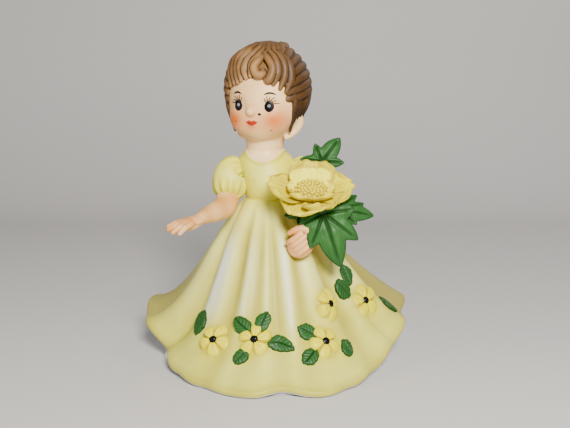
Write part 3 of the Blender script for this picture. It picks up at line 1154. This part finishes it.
def make_bouquet():
    """Four lobed leaves round the flower, and its stems."""
    top_z = box_mm("bouquet_leaf_top")[1][2] - 0.4
    right_x = box_mm("bouquet_leaf_right")[1][0] - 0.2
    front_z = box_mm("bouquet_leaf_front")[0][2] - 1.6
    inner_x = box_mm("bouquet_leaf_inner")[0][0] + 0.2
    leaves = {         # hub, tip, facing, lobes as angle, reach and width
        "top": (vec(18.7, -10.9, 81.6), vec(26.2, -8.0, top_z), vec(-0.10, -0.95, 0.20),
                [(0, 1.0, 34), (-56, 0.66, 30), (-117, 0.72, 28), (56, 0.72, 30), (95, 0.52, 30)]),
        "right": (vec(23.6, -19.0, 63.8), vec(right_x, -16.8, 61.2), vec(0.0, -0.88, 0.42),
                  [(0, 1.0, 26), (-40, 0.70, 22), (-20, 0.80, 14), (27, 0.66, 24), (80, 0.42, 40),
                   (-84, 0.42, 40)]),
        "front": (vec(18.8, -25.2, 63.0), vec(25.8, -28.5, front_z), vec(0.05, -0.96, 0.12),
                  [(0, 1.0, 28), (39, 0.66, 30), (-35, 0.78, 26), (80, 0.52, 34), (-80, 0.56, 40)]),
        "inner": (vec(10.6, -20.2, 63.0), vec(inner_x, -19.6, 61.4), vec(-0.10, -0.92, 0.30),
                  [(0, 1.0, 40), (60, 0.7, 36), (-60, 0.7, 36)]),
    }
    for place, (hub, tip, face, lobes) in leaves.items():
        make_ivy(f"leaf_{place}", f"bouquet_leaf_{place}", hub, tip, face, lobes)
    stem_low, stem_high = box_mm("bouquet_stems")
    clay = Clay(stem_low - 1.0, stem_high + 1.0, 0.2)
    runs = [(vec(13.4, -19.6, 63.6), vec(11.6, -24.0, 60.4), vec(9.2, -24.9, 57.0)),
            (vec(15.4, -20.0, 62.6), vec(13.2, -24.4, 59.6), vec(10.8, -25.4, 56.0))]
    for run in runs:
        clay.chain(curve_through(run, 8), np.linspace(1.0, 0.75, 8), 0.4)
    points, faces = clay.fire()
    colours = mix(LEAF_GREEN, LEAF_DARK, np.clip(0.4 + 0.5 * smooth_noise(points, 3.0, 71), 0, 1))
    add_mesh("stems", points, faces, colours, LEAF, ["bouquet_stems"])


# ---------------------------------------------------------------- sprigs on the skirt
BLOSSOMS = [(1, -36, 0.75), (2, -10, 0.71), (3, 28, 0.74), (4, 41, 0.59), (5, 76, 0.71)]
SKIRT_LEAVES = [   # number, azimuth, share down, length, width, turn of the tip from straight down
    (1, -54, 0.70, 10.0, 7.2, 185), (2, -18.5, 0.65, 8.8, 6.0, -127), (3, -6, 0.63, 8.4, 5.6, 160),
    (4, 4, 0.74, 9.6, 6.2, 78), (5, -16, 0.79, 7.4, 5.2, -32), (6, 20, 0.68, 8.6, 6.2, -128),
    (7, 18, 0.79, 8.6, 5.6, -46), (8, 41, 0.81, 7.4, 6.0, 12), (9, 63, 0.58, 9.2, 6.2, 14),
    (10, 75, 0.54, 8.8, 6.2, 170), (11, 88, 0.86, 10.0, 5.4, 6),
]


def lay_on_skirt(azimuth, t, turn, x, y, height):
    """Points at x along and y across a direction on the skirt, raised by height."""
    p = skirt_point(azimuth, t)
    radius = math.hypot(p[0], p[1])
    drop = float(np.linalg.norm(skirt_point(azimuth, t + 0.01) - skirt_point(azimuth, t - 0.01))) / 0.02
    a = math.radians(turn)
    down = x * math.cos(a) - y * math.sin(a)
    right = x * math.sin(a) + y * math.cos(a)
    at, share = azimuth + np.degrees(right / radius), t + down / drop
    q, _, _, out = skirt_axes(at, share)
    wrapped = q + out * height[..., None]
    # a sprig was pressed flat first, so it bridges the dips of the cloth
    out_here = skirt_axes(azimuth, t)[3]
    level = (p + out_here * height[..., None] - wrapped) @ out_here
    bridge = np.maximum(level, 0.0) * (1 - ease((np.hypot(x, y) / np.hypot(x, y).max() - 0.75) / 0.25))
    return wrapped + out_here * bridge[..., None]


def disc(rings, spokes):
    """Shares from the middle to the edge as rows, and angles round it in radians as columns."""
    return np.linspace(0, 1, rings)[:, None], np.linspace(0, 2 * math.pi, spokes, endpoint=False)[None, :]


def add_sprig(name, points, colours, material, node):
    """A sprig laid out as a disc."""
    faces = grid_faces(*points.shape[:2], close_columns=True)[:, ::-1]
    add_mesh(name, points.reshape(-1, 3), faces, colours.reshape(-1, 3), material, [node])


def make_blossom(number, azimuth, t):
    """A five-lobed blossom with a black bead in its centre."""
    share, angle = disc(30, 150)
    size = 6.9
    five = np.cos(2.5 * (angle - 0.3 * number))
    lobes = np.abs(five)
    edge = size * (0.66 + 0.34 * lobes ** 0.55)
    radius = share * edge
    dome = np.clip(1 - share ** 4, 0, 1) ** 0.5
    gap = bump(lobes, 0.30) * ease(share / 0.35)
    furrow = bump(five ** 2 - 1.0, 0.02) * bump(share - 0.45, 0.25)
    swell = 0.55 + 0.45 * np.sin(math.pi * np.clip(share * 0.9 + 0.1, 0, 1))
    height = 1.9 * dome * swell - gap - 0.3 * furrow
    height = height - 0.45 * bump(share, 0.16) - 0.35 * ease((share - 0.92) / 0.08)
    points = lay_on_skirt(azimuth, t, 0.0, radius * np.cos(angle), radius * np.sin(angle), height)
    colours = mix(SPRIG_YELLOW, SPRIG_PALE, np.clip(0.5 * (height / 1.5) + 0.1, 0, 1))
    colours = mix(colours, PETAL_OCHRE, np.clip(0.85 * gap + 0.4 * furrow, 0, 1) * ease(share * 3))
    colours = mix(colours, DRESS_YELLOW, ease((share - 0.86) / 0.14) * 0.7 * np.ones_like(angle))
    add_sprig(f"blossom_{number}", points, colours, DRESS, f"skirt_blossom_{number}")
    p, around, fall, out = skirt_axes(azimuth, t)
    clay = Clay(p + out - 2.6, p + out + 2.6, 0.13)
    clay.ball(p + out * 1.25, (1.75, 1.6, 1.0), axes=[around, fall, out])
    clay.ball(p + out * 1.5 + around * 0.25 - fall * 0.2, (1.15, 1.1, 0.95), 0.3, axes=[around, fall, out])
    bead, faces = clay.fire()
    add_mesh(f"bead_{number}", bead, faces, None, BLACK, [f"blossom_centre_{number}"])


def make_skirt_leaf(number, azimuth, t, length, width, turn):
    """A small leaf with a midrib, side veins and a faintly toothed edge."""
    share, angle = disc(22, 120)
    c, s = np.cos(angle), np.sin(angle)
    half_l, half_w = 0.5 * length * 1.06, 0.5 * width * 1.12
    teeth = 1.0 + 0.025 * np.cos(angle * 11 + number) + 0.03 * np.cos(angle * 5 + 2 * number)
    pinch = 1.0 - 0.30 * np.abs(c) ** 3
    x = share * half_l * c * teeth
    y = share * half_w * s * pinch * teeth
    dome = np.clip(1 - share ** 5, 0, 1) ** 0.5
    midrib = bump(y, 0.26) * ease((1 - np.abs(x) / half_l) * 3)
    veins = (0.5 + 0.5 * np.cos((x - 0.8 * np.abs(y)) * 4.2)) * ease(np.abs(y) / 0.5)
    height = 1.15 * dome - 0.42 * midrib - 0.12 * veins - 0.3 * ease((share - 0.93) / 0.07)
    points = lay_on_skirt(azimuth, t, turn, x, y, height)
    shade = np.clip(0.2 + 0.65 * midrib + 0.25 * veins + 0.5 * ease((share - 0.85) / 0.15), 0, 1)
    colours = mix(LEAF_GREEN, LEAF_DARK, shade)
    add_sprig(f"sprig_leaf_{number}", points, colours, LEAF, f"skirt_leaf_{number}")


# ---------------------------------------------------------------- floor, light and camera
FLOOR_FRONT, FLOOR_BACK, FLOOR_HALF = -0.9, 0.32, 1.6     # metres
WALL_BEND, WALL_TOP = 0.14, 1.4
FLOOR_DROP = 0.0002


def make_stage():
    """A plain pale floor that curves up into a plain pale wall behind."""
    profile = [(FLOOR_FRONT, 0.0), (FLOOR_BACK, 0.0)]
    for k in range(1, 13):
        a = math.radians(90 * k / 12)
        profile.append((FLOOR_BACK + WALL_BEND * math.sin(a), WALL_BEND * (1 - math.cos(a))))
    profile.append((FLOOR_BACK + WALL_BEND, WALL_TOP))
    verts = [(x, y, z - FLOOR_DROP) for y, z in profile for x in (-FLOOR_HALF, FLOOR_HALF)]
    faces = [(2 * k, 2 * k + 1, 2 * k + 3, 2 * k + 2) for k in range(len(profile) - 1)]
    mesh = bpy.data.meshes.new("floor")
    mesh.from_pydata(verts, [], faces)
    mesh.polygons.foreach_set("use_smooth", [True] * len(mesh.polygons))
    material = bpy.data.materials.new("floor_paper")
    material.use_nodes = True
    shader = material.node_tree.nodes["Principled BSDF"]
    shader.inputs["Base Color"].default_value = (0.62, 0.60, 0.58, 1.0)
    shader.inputs["Roughness"].default_value = 0.6
    mesh.materials.append(material)
    floor = bpy.data.objects.new("floor", mesh)
    bpy.context.scene.collection.objects.link(floor)


def add_light(name, place, target, size, power, colour):
    """A square soft light, turned towards its target."""
    data = bpy.data.lights.new(name, "AREA")
    data.size, data.energy, data.color = size, power, colour
    lamp = bpy.data.objects.new(name, data)
    lamp.location = place
    lamp.rotation_euler = (Vector(target) - Vector(place)).to_track_quat("-Z", "Y").to_euler()
    bpy.context.scene.collection.objects.link(lamp)


def make_lights():
    """A key light from above and behind the camera, two weak lights, a pale room and a contrasty look."""
    world = bpy.data.worlds.new("room")
    world.use_nodes = True
    background = world.node_tree.nodes["Background"]
    background.inputs["Color"].default_value = (0.92, 0.95, 1.0, 1.0)
    background.inputs["Strength"].default_value = 0.33
    bpy.context.scene.world = world
    bpy.context.scene.view_settings.look = "AgX - Punchy"
    add_light("key", (0.09, -0.48, 0.33), (0, 0, 0.06), 0.14, 10.8, (1.0, 0.97, 0.92))
    add_light("fill", (-0.55, -0.30, 0.25), (0, 0, 0.06), 0.45, 1.5, (0.95, 0.97, 1.0))
    add_light("back", (0.35, 0.30, 0.45), (0, 0, 0.08), 0.30, 0.9, (1.0, 1.0, 1.0))


CAMERA_PLACE = (0.004, -0.3284, 0.1106)
CAMERA_PITCH = math.radians(8.95)
CAMERA_LENS, CAMERA_SENSOR = 50.5, 36.0


def make_camera():
    """The camera stands in front of the figurine, as high as its face, and looks slightly down."""
    data = bpy.data.cameras.new("camera")
    data.sensor_width, data.lens = CAMERA_SENSOR, CAMERA_LENS
    data.clip_start, data.clip_end = 0.01, 20.0
    camera = bpy.data.objects.new("camera", data)
    camera.location = CAMERA_PLACE
    camera.rotation_euler = (math.radians(90) - CAMERA_PITCH, 0, 0)
    bpy.context.scene.collection.objects.link(camera)
    bpy.context.scene.camera = camera


# ---------------------------------------------------------------- putting it together
make_skirt()
make_base()
make_bodice()
make_sleeve("puffed_sleeve_right", "sleeve_right", -1)
make_sleeve("puffed_sleeve_left", "sleeve_left", 1)
make_arm_right()
make_arm_left()
make_face_paint(make_head())
make_hair()
make_petals()
make_stamens()
make_receptacle()
make_bouquet()
for blossom in BLOSSOMS:
    make_blossom(*blossom)
for sprig in SKIRT_LEAVES:
    make_skirt_leaf(*sprig)
make_stage()
make_lights()
make_camera()
